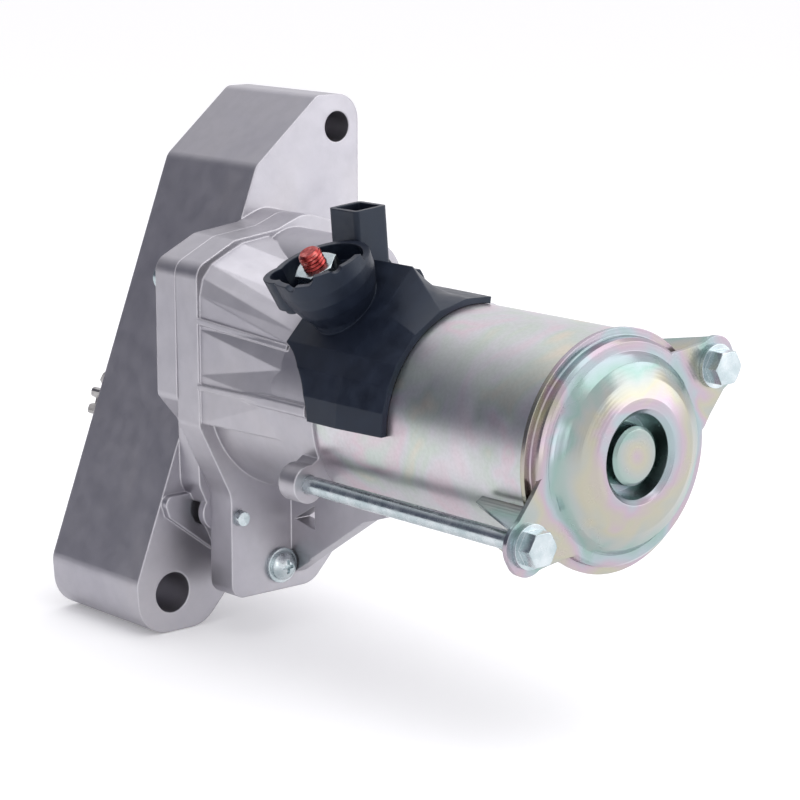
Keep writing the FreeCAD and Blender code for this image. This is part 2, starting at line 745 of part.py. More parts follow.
def connector(outer):
    lean = Rotation(AXIS, -connector_tilt)
    if outer:
        half_x = connector_w / 2
        half_y = connector_l / 2
        low = 40.0
        high = connector_top
    else:
        half_x = connector_w / 2 - connector_wall
        half_y = connector_l / 2 - connector_wall
        low = connector_top - 13.0
        high = connector_top + 2.0
    body = box(-half_x, half_x, -half_y, half_y, low - 40.0, high - 40.0)
    edges = [e for e in body.Edges if abs(e.BoundBox.ZMax - e.BoundBox.ZMin) > 5]
    body = body.makeFillet(1.6 if outer else 0.8, edges)
    body.Placement = Placement(Vector(connector_x, connector_y, 40.0), lean)
    return body


def terminal_block():
    body = block_body().fuse([cup(), connector(True)])
    lock = box(connector_w / 2 - 0.5, connector_w / 2 + 1.2, -1.6, 1.6, 16.0, 20.5)
    lock.Placement = Placement(Vector(connector_x, connector_y, 40.0), Rotation(AXIS, -connector_tilt))
    body = body.fuse(lock)
    # contact chamber behind the solenoid
    chamber_r = can_r - 1.0 - seat_gap
    body = body.cut(cyl(yoke_r + block_gap, block_rear - 1, y_case_rear))
    body = body.cut(cyl(case_r + block_gap, y_case_rear, block_front + 20))
    body = body.cut(cyl(can_r + seat_gap + case_wall + block_gap, can_rear - block_gap, can_rear + 20,
                        solenoid_x, solenoid_z))
    roof = box(-60, 60, y_case_rear - 1, can_rear + 2, 0, solenoid_z + contact_h / 2 + 3.6)
    cap = cyl(chamber_r, y_case_rear + 0.3, can_rear, solenoid_x, solenoid_z).common(roof)
    lid = cyl(can_r, can_rear - 2.0, can_rear, solenoid_x, solenoid_z)
    lid = lid.cut(cyl(case_r + block_gap, can_rear - 3.0, can_rear + 1))
    body = body.fuse([cap, lid])
    room = cyl(chamber_r - 1.6, y_case_rear + 2.4, can_rear + 1, solenoid_x, solenoid_z)
    body = body.cut(room.common(roof.translated(Vector(0, 0, -2.0))))
    body = body.cut(connector(False))
    body = body.cut(cup_room())
    body = body.cut(along_stud(stud_r, stud_foot, 40.0))
    body = body.cut(battery_bar()).cut(motor_contact()).cut(signal_blade())
    return one(body)


def battery_stud():
    seat = cup_floor + nut_height
    free = seat + relief_width
    tip_low = stud_top - 1.0
    stud = along_stud(stud_r, stud_foot, seat)
    neck = along_stud(stud_r - relief_depth, seat - 1.0, free + 1.0)
    free_end = along_stud(stud_r - 0.05, free, tip_low)
    tip = Part.makeCone(stud_r - 0.05, stud_r - 1.0, 1.0, STUD_BASE + CUP_AXIS * tip_low, CUP_AXIS)
    return one(stud.fuse([neck, free_end, tip]))


def battery_nut():
    top = cup_floor + nut_height
    flange = along_stud(nut_flange_r, cup_floor, cup_floor + 1.6)
    nut = hexagon(nut_af, 0, nut_height)
    nut.Placement = Placement(STUD_BASE + CUP_AXIS * cup_floor, Rotation(AXIS, CUP_AXIS))
    chamfer = turned_on(STUD_BASE, [(0, cup_floor), (20, cup_floor), (20, top - 3.2), (nut_af / 2, top), (0, top)])
    body = flange.fuse(nut.common(chamfer))
    return one(body.cut(along_stud(stud_r, cup_floor - 1, top + 1)))


def battery_bar():
    """Copper bar from the foot of the stud to the contact chamber."""
    foot = CUP_BASE + CUP_AXIS * (stud_foot + 1.2)
    inner_x = solenoid_x - contact_w / 2 + 5.0
    low = case_r + 1.2
    top = solenoid_z + contact_h / 2
    points = [Vector(inner_x, 0, top - 4.0), Vector(inner_x, 0, top), Vector(inner_x - 6.5, 0, low + 4.6),
              foot + CUP_AXIS * 1.4, foot - CUP_SIDE * 2.0, foot - CUP_AXIS * 1.2, Vector(inner_x - 6.5, 0, low)]
    level = plate_y - travel - contact_t - 0.5
    moved = [Vector(p.x, level, p.z) for p in points]
    bar = Part.Face(Part.makePolygon(moved + [moved[0]])).extrude(Vector(0, contact_t + 0.4, 0))
    return one(bar.cut(along_stud(stud_r, stud_foot, 40.0)))


def motor_contact():
    """Copper strap from the contact chamber back to the brush plate."""
    x0 = solenoid_x + contact_w / 2 - 5.0
    z0 = yoke_r - yoke_wall - seat_gap - 5.0
    tab = box(x0, x0 + 4.0, y_case_rear + 2.4, plate_y - travel - 0.1, z0, z0 + 9.0)
    lead = box(x0, x0 + 4.0, y_case_rear - 1.2, y_case_rear + 2.4, z0, z0 + 1.6)
    return one(tab.fuse(lead))


def signal_blade():
    blade = box(-3.2, 3.2, -0.4, 0.4, 3.0, 20.5)
    blade.Placement = Placement(Vector(connector_x, connector_y, 40.0), Rotation(AXIS, -connector_tilt))
    return blade


# ================================================================ field and brushes
def magnets():
    arc = tube(magnet_r, magnet_r - magnet_t, core_front - core_length - 2, core_front + 2)
    half = magnet_span / 2
    wedge = Part.Face(Part.makePolygon([
        Vector(0, -300, 0), Vector(60, -300, -60 * math.tan(math.radians(half))),
        Vector(60, -300, 60 * math.tan(math.radians(half))), Vector(0, -300, 0),
    ])).extrude(Vector(0, 300, 0))
    return group(ring_of(arc.common(wedge), magnets_count, start=45.0))


def magnet_clips():
    half = (90.0 - magnet_span) / 2 - 0.6
    arc = tube(magnet_r, magnet_r - 0.8, core_front - core_length, core_front)
    wedge = Part.Face(Part.makePolygon([
        Vector(0, -300, 0), Vector(60, -300, -60 * math.tan(math.radians(half))),
        Vector(60, -300, 60 * math.tan(math.radians(half))), Vector(0, -300, 0),
    ])).extrude(Vector(0, 300, 0))
    return group(ring_of(arc.common(wedge), magnets_count))


def brush_holder():
    ring = tube(yoke_r - yoke_wall - seat_gap, commutator_r + 1.5, y_case_rear - 1.2 - brush_plate_t,
                y_case_rear - 1.2)
    outer = box(17.0, 29.0, brush_y - brush_length / 2 - brush_wall, y_case_rear - 2.0,
                -brush_w / 2 - brush_wall, brush_w / 2 + brush_wall)
    inner = box(16.0, 30.0, brush_y - brush_length / 2 - seat_gap, brush_y + brush_length / 2 + seat_gap,
                -brush_w / 2 - seat_gap, brush_w / 2 + seat_gap)
    body = ring.fuse(ring_of(outer, 4, start=45.0))
    body = body.cut(group(ring_of(inner, 4, start=45.0)))
    body = body.cut(cyl(commutator_r + 1.5, y_yoke_rear, y_case_rear))
    return one(body)


def brushes():
    start = commutator_r + running_gap
    brush = box(start - 1.0, start + brush_height, brush_y - brush_length / 2, brush_y + brush_length / 2,
                -brush_w / 2, brush_w / 2)
    brush = brush.cut(cyl(start, y_yoke_rear, y_case_rear))
    return group(ring_of(brush, 4, start=45.0))


def brush_springs():
    start = commutator_r + running_gap + brush_height
    coil = spring(2.7, 0.45, start + 0.05, yoke_r - yoke_wall - 0.1, 3)
    coil.rotate(Vector(0, 0, 0), Vector(0, 0, 1), -90)
    coil.translate(Vector(0, brush_y, 0))
    return group(ring_of(coil, 4, start=45.0))


# ================================================================ armature
def armature_shaft():
    level = y_rim - 4.0
    body = cyl(rear_journal_r, level - 2.6, core_front - core_length - end_turn - 1)
    body = body.fuse(cyl(core_bore_r, core_front - core_length - end_turn - 1, commutator_front + 0.5))
    body = body.fuse(cyl(shaft_r, commutator_front, clutch_rear))
    shoulder = cyl(shaft_r + 1.5, bearing_rear - 8.0, bearing_rear)
    body = body.fuse(shoulder)
    tip_r = gear_module * (drive_teeth / 2 + 1 + profile_shift)
    teeth = gear(drive_teeth, gear_module, profile_shift, tip_r, clutch_rear, clutch_rear + clutch_width,
                 0, 0, output_angle)
    return one(body.fuse(teeth))


def armature_core():
    y0 = core_front - core_length
    body = tube(core_r, core_bore_r, y0, core_front)
    slot = box(core_r - slot_depth, core_r + 1, y0 - 1, core_front + 1, -slot_w / 2, slot_w / 2)
    return one(body.cut(group(ring_of(slot, slots))))


def armature_windings():
    y0 = core_front - core_length
    inner = core_r - slot_depth + 0.3
    outer = core_r - 1.4
    bar = box(inner, outer, y0 - 0.5, core_front + 0.5, -slot_w / 2 + 0.15, slot_w / 2 - 0.15)
    rear = tube(outer, inner - 3.0, y0 - end_turn, y0 - 0.2)
    front = tube(outer, inner - 3.0, core_front + 0.2, core_front + end_turn - 0.6)
    return one(rear.fuse([front] + ring_of(bar, slots)))


def commutator_bars():
    y0 = commutator_front - commutator_length
    ring = tube(commutator_r, commutator_r - 3.5, y0, commutator_front)
    gap = box(5, commutator_r + 1, y0 - 1, commutator_front + 1, -0.3, 0.3)
    cut = ring.cut(group(ring_of(gap, slots, start=180.0 / slots)))
    return group(cut.Solids)


def commutator_hub():
    return tube(commutator_r - 3.5, core_bore_r, commutator_front - commutator_length, commutator_front)


def rear_bush():
    level = y_rim - 4.0
    return tube(rear_bush_r, rear_journal_r + running_gap, level - 3.2, level + 3.2)


def thrust_washer():
    y1 = core_front - core_length - end_turn - 1
    return tube(core_bore_r + 1.5, rear_journal_r, y1 - 1.2, y1)


def bearing_outer_ring():
    ring = tube(bearing_r, bearing_r - 2.6, bearing_rear, bearing_rear + bearing_width)
    groove = Part.makeTorus(ball_pitch_r, ball_r + 0.1, Vector(0, bearing_rear + bearing_width / 2, 0), AXIS)
    return one(ring.cut(groove))


def bearing_inner_ring():
    ring = tube(shaft_r + 2.6, shaft_r, bearing_rear, bearing_rear + bearing_width)
    groove = Part.makeTorus(ball_pitch_r, ball_r + 0.1, Vector(0, bearing_rear + bearing_width / 2, 0), AXIS)
    return one(ring.cut(groove))


def bearing_cage():
    middle = bearing_rear + bearing_width / 2
    ring = tube(ball_pitch_r + 0.5, ball_pitch_r - 0.5, middle - 2.6, middle + 2.6)
    pocket = Part.makeCylinder(ball_r + 0.1, 4.0, Vector(ball_pitch_r - 2.0, middle, 0), Vector(1, 0, 0))
    return one(ring.cut(group(ring_of(pocket, balls))))


def bearing_balls():
    ball = Part.makeSphere(ball_r, Vector(ball_pitch_r, bearing_rear + bearing_width / 2, 0))
    return group(ring_of(ball, balls))


# ================================================================ solenoid
def solenoid_can():
    y1 = can_rear + can_length
    body = cyl(can_r, can_rear, y1, solenoid_x, solenoid_z)
    body = body.cut(cyl(can_r - can_wall, can_rear - 1, y1 - 2.5, solenoid_x, solenoid_z))
    return one(body.cut(cyl(plunger_r + 0.15, can_rear, y1 + 1, solenoid_x, solenoid_z)))


def solenoid_core():
    body = cyl(can_r - can_wall - seat_gap, can_rear, can_rear + 2.4, solenoid_x, solenoid_z)
    body = body.fuse(cyl(plunger_r, can_rear, core_face, solenoid_x, solenoid_z))
    return one(body.cut(cyl(rod_r + 0.3, can_rear - 1, core_face + 1, solenoid_x, solenoid_z)))


def solenoid_bobbin():
    y0 = can_rear + 2.5
    y1 = can_rear + can_length - 2.6
    inner = plunger_r + 0.3
    tube_part = tube(inner + 1.0, inner, y0, y1, solenoid_x, solenoid_z)
    rear = tube(can_r - can_wall - seat_gap, inner, y0, y0 + 1.2, solenoid_x, solenoid_z)
    front = tube(can_r - can_wall - seat_gap, inner, y1 - 1.2, y1, solenoid_x, solenoid_z)
    return one(tube_part.fuse([rear, front]))


def solenoid_coil():
    y0 = can_rear + 2.5 + 1.25
    y1 = can_rear + can_length - 2.6 - 1.25
    return tube(can_r - can_wall - 0.4, plunger_r + 1.35, y0, y1, solenoid_x, solenoid_z)


def plunger():
    y1 = plunger_rear + plunger_length
    body = cyl(plunger_r, plunger_rear, y1, solenoid_x, solenoid_z)
    body = body.cut(cyl(plunger_bore_r, plunger_rear - 1, plunger_rear + 12.0, solenoid_x, solenoid_z))
    stem = cyl(hook_r, y1 - 1, hook_y + 4.4, solenoid_x, solenoid_z)
    near = cyl(hook_flange_r, hook_y - hook_pad_r - side_gap - 1.5, hook_y - hook_pad_r - side_gap,
               solenoid_x, solenoid_z)
    far = cyl(hook_flange_r, hook_y + hook_pad_r + side_gap, hook_y + hook_pad_r + side_gap + 1.5,
              solenoid_x, solenoid_z)
    return one(body.fuse([stem, near, far]))


def contact_rod():
    body = cyl(rod_r, plate_y - 1.2, plunger_rear + 12.5, solenoid_x, solenoid_z)
    shoulder = cyl(rod_r + 1.0, plate_y + contact_t, plate_y + contact_t + 1.2, solenoid_x, solenoid_z)
    return one(body.fuse(shoulder).cut(cyl(9, plunger_rear + 12.0, plunger_rear + 20, solenoid_x, solenoid_z)))


def contact_plate():
    bridge = box(solenoid_x - contact_w / 2, solenoid_x + contact_w / 2, plate_y, plate_y + contact_t,
                 solenoid_z - contact_h / 2, solenoid_z + contact_h / 2)
    return one(bridge.cut(cyl(rod_r, plate_y - 1, plate_y + 3, solenoid_x, solenoid_z)))


def plunger_spring():
    return spring(3.2, 0.5, core_face + 0.05, plunger_rear + 11.95, 7, solenoid_x, solenoid_z)


# ================================================================ shift lever
def shift_lever():
    """Fork over the shift collar below, hook over the plunger above, drawn upright at y = 0."""
    top = lever_span
    web = box(-4.0, 4.0, -4.0, 4.0, 17.0, top - 9.0)
    bridge_low = box(-16.6, 16.6, -4.0, 4.0, 13.6, 17.8)
    bridge_top = box(-7.6, 7.6, -3.0, 3.0, top - 11.0, top - 6.5)
    boss = Part.makeCylinder(6.5, 15.0, Vector(-7.5, 0, lever_arm), Vector(1, 0, 0))
    parts = [bridge_low, bridge_top, boss]
    for side in (1, -1):
        inner = side * 13.4
        outer = side * 16.6
        arm = box(min(inner, outer), max(inner, outer), -fork_pad_r, fork_pad_r, 0, 16.0)
        rounding = Part.makeCylinder(fork_pad_r, 3.2, Vector(min(inner, outer), 0, 0), Vector(1, 0, 0))
        pad_start = side * (collar_groove_r + side_gap)
        pad = Part.makeCylinder(fork_pad_r, abs(inner - pad_start) + 0.1,
                                Vector(min(pad_start, inner), 0, 0), Vector(1, 0, 0))
        hook_inner = side * (hook_flange_r + side_gap)
        hook_outer = side * 7.6
        hook = box(min(hook_inner, hook_outer), max(hook_inner, hook_outer), -hook_pad_r, hook_pad_r,
                   top - 8.0, top)
        tip = Part.makeCylinder(hook_pad_r, abs(hook_outer) - hook_r - side_gap,
                                Vector(min(side * (hook_r + side_gap), hook_outer), 0, top), Vector(1, 0, 0))
        parts += [arm, rounding, pad, hook, tip]
    lever = web.fuse(parts)
    hole = Part.makeCylinder(pivot_r + running_gap, 40.0, Vector(-20, 0, lever_arm), Vector(1, 0, 0))
    lever = lever.cut(hole)
    swing = math.degrees(math.asin(travel / 2 / lever_arm))
    lever.rotate(Vector(0, 0, lever_arm), Vector(1, 0, 0), -swing)
    lever.translate(Vector(0, pivot_y, 0))
    return one(lever_frame(lever))


def lever_pin():
    return lever_frame(Part.makeCylinder(pivot_r, 40.0, Vector(-15.0, pivot_y, lever_arm), Vector(1, 0, 0)))


# ================================================================ clutch and output
def clutch_gear():
    tip_r = gear_module * (clutch_teeth / 2 + 1 - profile_shift)
    body = gear(clutch_teeth, gear_module, -profile_shift, tip_r, clutch_rear + 1.0,
                clutch_rear + clutch_width - 2.0, out_x, out_z, output_angle + 180.0 + 180.0 / clutch_teeth)
    body = body.cut(cyl(sleeve_r + running_gap, clutch_rear, clutch_rear + clutch_width, out_x, out_z))
    pocket = cyl(roller_r + 0.12, clutch_rear + 3.0, clutch_rear + clutch_width,
                 out_x + sleeve_r + roller_r + 0.08, out_z)
    wedge = cyl(roller_r - 0.3, clutch_rear + 3.0, clutch_rear + clutch_width,
                out_x + sleeve_r + roller_r - 0.3, out_z)
    pocket = pocket.fuse(spin(wedge, 14.0, out_x, out_z))
    return one(body.cut(group(ring_of(pocket, rollers, out_x, out_z))))


def clutch_rollers():
    roller = cyl(roller_r, clutch_rear + 3.2, clutch_rear + clutch_width - 2.2,
                 out_x + sleeve_r + roller_r + 0.08, out_z)
    return group(ring_of(roller, rollers, out_x, out_z))


def clutch_cover():
    y0 = clutch_rear + clutch_width - 2.0
    return tube(15.6, sleeve_r + running_gap, y0, y0 + 1.4, out_x, out_z)


def spline_ring(major, minor, y0, y1, gap=0.0):
    core = cyl(minor, y0, y1, out_x, out_z)
    key = box(out_x + minor - 1.0, out_x + major, y0, y1, out_z - 1.2 - gap, out_z + 1.2 + gap)
    key = key.common(cyl(major, y0, y1, out_x, out_z))
    return core.fuse(ring_of(key, splines, out_x, out_z))


def clutch_sleeve():
    y0 = sleeve_front - sleeve_length
    body = cyl(sleeve_r, clutch_rear, sleeve_front, out_x, out_z)
    body = body.fuse(cyl(sleeve_journal_r, y0, clutch_rear, out_x, out_z))
    bore = spline_ring(spline_major_r + running_gap, spline_minor_r + running_gap, y0 - 1, sleeve_front + 1,
                       running_gap)
    return one(body.cut(bore))


def clutch_bush():
    y0 = sleeve_front - sleeve_length - 0.4
    return tube(sleeve_journal_r + 1.6, sleeve_journal_r + running_gap, y0, clutch_rear - 1.2, out_x, out_z)


def output_shaft():
    y0 = sleeve_front - sleeve_length + 1.5
    body = spline_ring(spline_major_r, spline_minor_r, y0, collar_rear + collar_width, 0.0)
    body = body.fuse(cyl(output_journal_r, collar_rear + collar_width, pinion_rear, out_x, out_z))
    body = body.fuse(cyl(pinion_bore_r, pinion_rear, pinion_rear + pinion_width + 3.4, out_x, out_z))
    ring_y = pinion_rear + pinion_width
    body = body.cut(tube(pinion_bore_r + 1, pinion_bore_r - 0.8, ring_y, ring_y + 1.4, out_x, out_z))
    return one(body)


def shift_collar():
    body = cyl(collar_r, collar_rear, collar_rear + collar_width, out_x, out_z)
    half = fork_pad_r + side_gap
    body = body.cut(tube(collar_r + 1, collar_groove_r, groove_y - half, groove_y + half, out_x, out_z))
    bore = spline_ring(spline_major_r, spline_minor_r, collar_rear - 1, collar_rear + collar_width + 1)
    return one(body.cut(bore))


def pinion():
    y0 = pinion_rear
    y1 = pinion_rear + pinion_width
    shift = (pinion_tip_r - pinion_module * pinion_teeth / 2) / pinion_module - 1.0
    body = gear(pinion_teeth, pinion_module, shift, pinion_tip_r, y0, y1, out_x, out_z, 0.0)
    lead_in = Part.makeCone(pinion_tip_r + 6.0, pinion_tip_r - 2.4, 8.4, Vector(out_x, y1 - 8.4, out_z), AXIS)
    lead_in = lead_in.fuse(cyl(pinion_tip_r + 6.0, y0 - 1, y1 - 8.4, out_x, out_z))
    body = body.common(lead_in)
    return one(body.cut(cyl(pinion_bore_r, y0 - 1, y1 + 1, out_x, out_z)))


def snap_ring():
    y0 = pinion_rear + pinion_width
    ring = tube(pinion_bore_r + 1.2, pinion_bore_r - 0.8, y0, y0 + 1.4, out_x, out_z)
    return one(ring.cut(box(out_x, out_x + 20, y0 - 1, y0 + 3, out_z - 2.0, out_z + 2.0)))


def nose_bush():
    return tube(nose_bush_r, output_journal_r + running_gap, -front_wall, -3.4, out_x, out_z)


def shaft_seal():
    return tube(nose_bush_r, output_journal_r + running_gap, -3.3, -0.3, out_x, out_z)


def pinion_spring():
    return spring(9.6, 0.8, collar_rear + collar_width + 0.05, -front_wall - 0.05, 5, out_x, out_z)


NODES = {
    "front_housing": front_housing,
    "gear_case": gear_case,
    "yoke_tube": yoke_tube,
    "rear_cover": rear_cover,
    "through_bolts": through_bolts,
    "front_screws": front_screws,
    "rear_screws": rear_screws,
    "locating_dowels": dowels,
    "terminal_block": terminal_block,
    "battery_stud": battery_stud,
    "battery_nut": battery_nut,
    "battery_contact": battery_bar,
    "motor_contact": motor_contact,
    "signal_blade": signal_blade,
    "field_magnets": magnets,
    "magnet_clips": magnet_clips,
    "brush_holder": brush_holder,
    "brushes": brushes,
    "brush_springs": brush_springs,
    "armature_shaft": armature_shaft,
    "armature_core": armature_core,
    "armature_windings": armature_windings,
    "commutator_bars": commutator_bars,
    "commutator_hub": commutator_hub,
    "rear_bush": rear_bush,
    "thrust_washer": thrust_washer,
    "bearing_outer_ring": bearing_outer_ring,
    "bearing_inner_ring": bearing_inner_ring,
    "bearing_cage": bearing_cage,
    "bearing_balls": bearing_balls,
    "solenoid_can": solenoid_can,
    "solenoid_core": solenoid_core,
    "solenoid_bobbin": solenoid_bobbin,
    "solenoid_coil": solenoid_coil,
    "solenoid_plunger": plunger,
    "contact_rod": contact_rod,
    "contact_plate": contact_plate,
    "plunger_spring": plunger_spring,
    "shift_lever": shift_lever,
    "lever_pin": lever_pin,
    "clutch_gear": clutch_gear,
    "clutch_rollers": clutch_rollers,
    "clutch_cover": clutch_cover,
    "clutch_sleeve": clutch_sleeve,
    "clutch_bush": clutch_bush,
    "output_shaft": output_shaft,
    "shift_collar": shift_collar,
    "drive_pinion": pinion,
    "snap_ring": snap_ring,
    "nose_bush": nose_bush,
    "shaft_seal": shaft_seal,
    "pinion_spring": pinion_spring,
}

os.makedirs("parts", exist_ok=True)
for name, build in NODES.items():
    build().exportStep("parts/" + name + ".step")
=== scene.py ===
import json
import math

import bmesh
import bpy
from mathutils import Matrix, Vector


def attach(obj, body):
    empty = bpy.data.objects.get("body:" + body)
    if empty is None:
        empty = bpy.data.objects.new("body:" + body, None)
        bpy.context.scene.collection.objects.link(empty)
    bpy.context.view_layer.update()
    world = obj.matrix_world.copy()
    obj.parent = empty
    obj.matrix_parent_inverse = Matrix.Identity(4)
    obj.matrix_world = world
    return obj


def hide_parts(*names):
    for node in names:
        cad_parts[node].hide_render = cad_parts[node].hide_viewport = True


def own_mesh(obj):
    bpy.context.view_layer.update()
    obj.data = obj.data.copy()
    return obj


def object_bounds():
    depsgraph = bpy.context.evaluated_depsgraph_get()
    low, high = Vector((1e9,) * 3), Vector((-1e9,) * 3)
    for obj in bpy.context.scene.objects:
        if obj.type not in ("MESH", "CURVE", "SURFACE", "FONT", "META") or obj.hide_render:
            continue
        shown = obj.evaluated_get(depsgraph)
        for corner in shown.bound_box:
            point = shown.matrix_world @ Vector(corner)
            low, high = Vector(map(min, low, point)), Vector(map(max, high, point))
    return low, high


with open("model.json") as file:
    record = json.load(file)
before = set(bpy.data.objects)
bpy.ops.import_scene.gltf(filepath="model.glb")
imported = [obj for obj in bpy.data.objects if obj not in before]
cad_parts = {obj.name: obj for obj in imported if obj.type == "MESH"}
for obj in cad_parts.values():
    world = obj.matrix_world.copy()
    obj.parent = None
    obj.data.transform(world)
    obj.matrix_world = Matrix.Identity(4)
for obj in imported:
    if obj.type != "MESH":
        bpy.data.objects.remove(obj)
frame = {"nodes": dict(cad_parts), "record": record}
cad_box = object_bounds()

MM = 0.001

# camera: a 122 mm lens behind and to the left of the motor, a little above its axis
CAMERA_TURN = math.radians(40.8)
CAMERA_TILT = math.radians(11.7)
CAMERA_PLACE = Vector((-573.0, -793.2, 181.9)) * MM
CAMERA_LENS = 122.1
CAMERA_SENSOR = 36.0

# springs: node, joint that shortens it, Y of its fixed end and length at rest, in millimetres
STROKE = 10.0
SPRINGS = (
    ("plunger_spring", "plunger_slide", -108.15, 22.1),
    ("pinion_spring", "pinion_shift", -12.05, 20.9),
)

# battery stud thread, in millimetres; foot and tip are heights above the middle of the free end
THREAD_FOOT = -17.6
THREAD_PITCH = 1.25
THREAD_DEPTH = 0.55
THREAD_STEPS = 48
THREAD_ROWS = 220
TIP_BEYOND_END = 1.0
TIP_CHAMFER = 1.1

# studio: a world that is bright except towards DARK_SIDE, a large white floor and three softboxes
DARK_SIDE = (-0.66, 0.72, 0.05)
BRIGHT_STOP = (0.45, (1.0, 0.99, 1.02, 1))
DARK_STOP = (0.92, (0.12, 0.125, 0.165, 1))
FLOOR_SIZE = 14.0
FLOOR_GAP = 0.3 * MM
LIGHT_AIM = (0.0, -0.11, 0.0)
SOFTBOXES = (
    # name, place, width and height in metres, power in watts
    ("top", (0.15, -0.25, 1.0), 1.2, 1.2, 5.0),
    ("right_rear", (1.0, -1.1, 0.35), 0.9, 0.9, 4.0),
    ("left_rear_low", (-0.9, -1.0, 0.15), 0.3, 0.9, 1.0),
)

# materials: the part of the noise range that is used, the cosine between the true and the softened
# normal at which an edge starts to look worn and looks fully worn, and the cover's rings and bands
NOISE_LOW, NOISE_HIGH = 0.3, 0.7
EDGE_START, EDGE_FULL = 0.97, 0.80
BEVEL_SAMPLES = 6
RING_RADIANS_PER_MM = 5.2
BAND_WIDTH_MM = 19.0
BAND_WANDER_MM = 26.0

# sockets of the colour form of the mix node
MIX_FACTOR, MIX_FIRST, MIX_SECOND, MIX_RESULT = 0, 6, 7, 2


# ---------------------------------------------------------------- material building blocks
class Paint:
    """A Principled material whose texture inputs are built from named node chains."""

    def __init__(self, name, **values):
        self.material = bpy.data.materials.new(name)
        self.material.use_nodes = True
        self.nodes = self.material.node_tree.nodes
        self.links = self.material.node_tree.links
        self.shader = self.nodes["Principled BSDF"]
        for label, value in values.items():
            self.shader.inputs[label.replace("_", " ")].default_value = value
        self.place = self.add("ShaderNodeTexCoord").outputs["Object"]
        self.normal = None

    def add(self, kind, **inputs):
        node = self.nodes.new(kind)
        for label, value in inputs.items():
            self.plug(node.inputs[label.replace("_", " ")], value)
        return node

    def plug(self, socket, value):
        if isinstance(value, bpy.types.NodeSocket):
            self.links.new(value, socket)
        else:
            socket.default_value = value

    def noise(self, size_mm, detail=3.0, stretch=(1, 1, 1), distortion=0.0):
        """Noise whose features are about size_mm across, 0 to 1."""
        mapping = self.add("ShaderNodeMapping", Vector=self.place, Scale=stretch)
        node = self.add("ShaderNodeTexNoise", Vector=mapping.outputs[0], Scale=1000.0 / size_mm,
                        Detail=detail, Distortion=distortion)
        return node.outputs["Fac"]

    def math(self, operation, first, second=0.0):
        node = self.nodes.new("ShaderNodeMath")
        node.operation = operation
        for socket, value in zip(node.inputs, (first, second)):
            self.plug(socket, value)
        return node.outputs[0]

    def spread(self, value, low_in, high_in, low_out, high_out):
        node = self.add("ShaderNodeMapRange", Value=value, From_Min=low_in, From_Max=high_in,
                        To_Min=low_out, To_Max=high_out)
        return node.outputs[0]

    def patchy(self, size_mm, detail, low, high):
        """A value that drifts between low and high in patches about size_mm across."""
        return self.spread(self.noise(size_mm, detail), NOISE_LOW, NOISE_HIGH, low, high)

    def ramp(self, value, *stops):
        node = self.add("ShaderNodeValToRGB", Fac=value)
        elements = node.color_ramp.elements
        elements[0].position, elements[0].color = stops[0][0], (*stops[0][1], 1)
        elements[1].position, elements[1].color = stops[-1][0], (*stops[-1][1], 1)
        for position, colour in stops[1:-1]:
            elements.new(position).color = (*colour, 1)
        return node.outputs["Color"]

    def mix(self, kind, factor, first, second):
        node = self.nodes.new("ShaderNodeMix")
        node.data_type = "RGBA"
        node.blend_type = kind
        self.plug(node.inputs[MIX_FACTOR], factor)
        self.plug(node.inputs[MIX_FIRST], first)
        self.plug(node.inputs[MIX_SECOND], second)
        return node.outputs[MIX_RESULT]

    def bump(self, height, depth_mm, strength):
        node = self.add("ShaderNodeBump", Height=height, Distance=depth_mm * MM, Strength=strength)
        if self.normal is not None:
            self.links.new(self.normal, node.inputs["Normal"])
        self.normal = node.outputs["Normal"]

    def soft_edges(self, radius_mm):
        node = self.add("ShaderNodeBevel", Radius=radius_mm * MM)
        node.samples = BEVEL_SAMPLES
        self.normal = node.outputs["Normal"]

    def edge_wear(self):
        """1 where soft_edges rounds an edge, 0 on open faces; called before any bump."""
        geometry = self.add("ShaderNodeNewGeometry")
        node = self.nodes.new("ShaderNodeVectorMath")
        node.operation = "DOT_PRODUCT"
        self.plug(node.inputs[0], geometry.outputs["True Normal"])
        self.plug(node.inputs[1], self.normal)
        return self.spread(node.outputs["Value"], EDGE_START, EDGE_FULL, 0.0, 1.0)

    def radius(self):
        """Distance from the motor's axis, in millimetres."""
        parts = self.add("ShaderNodeSeparateXYZ", Vector=self.place)
        across = parts.outputs["X"]
        up = parts.outputs["Z"]
        squares = self.math("ADD", self.math("MULTIPLY", across, across), self.math("MULTIPLY", up, up))
        return self.math("MULTIPLY", self.math("SQRT", squares), 1000.0)

    def finish(self, colour=None, roughness=None):
        if colour is not None:
            self.links.new(colour, self.shader.inputs["Base Color"])
        if roughness is not None:
            self.links.new(roughness, self.shader.inputs["Roughness"])
        if self.normal is not None:
            self.links.new(self.normal, self.shader.inputs["Normal"])
        return self.material


# ---------------------------------------------------------------- materials
def cast_aluminium():
    paint = Paint("die_cast_aluminium", Metallic=1.0)
    paint.soft_edges(0.9)
    worn = paint.edge_wear()
    paint.bump(paint.noise(0.9, 4.0), 0.04, 0.5)
    clouds = paint.noise(34.0, 4.0, distortion=0.6)
    colour = paint.ramp(clouds, (0.25, (0.41, 0.40, 0.44)), (0.5, (0.45, 0.44, 0.475)),
                        (0.8, (0.48, 0.465, 0.49)))
    grime = paint.ramp(paint.noise(5.0, 5.0), (0.35, (0.92, 0.92, 0.92)), (0.62, (1.0, 1.0, 1.0)))
    colour = paint.mix("MULTIPLY", 0.6, colour, grime)
    colour = paint.mix("MIX", worn, colour, (0.62, 0.61, 0.64, 1))
    return paint.finish(colour, paint.patchy(7.0, 4.0, 0.40, 0.47))


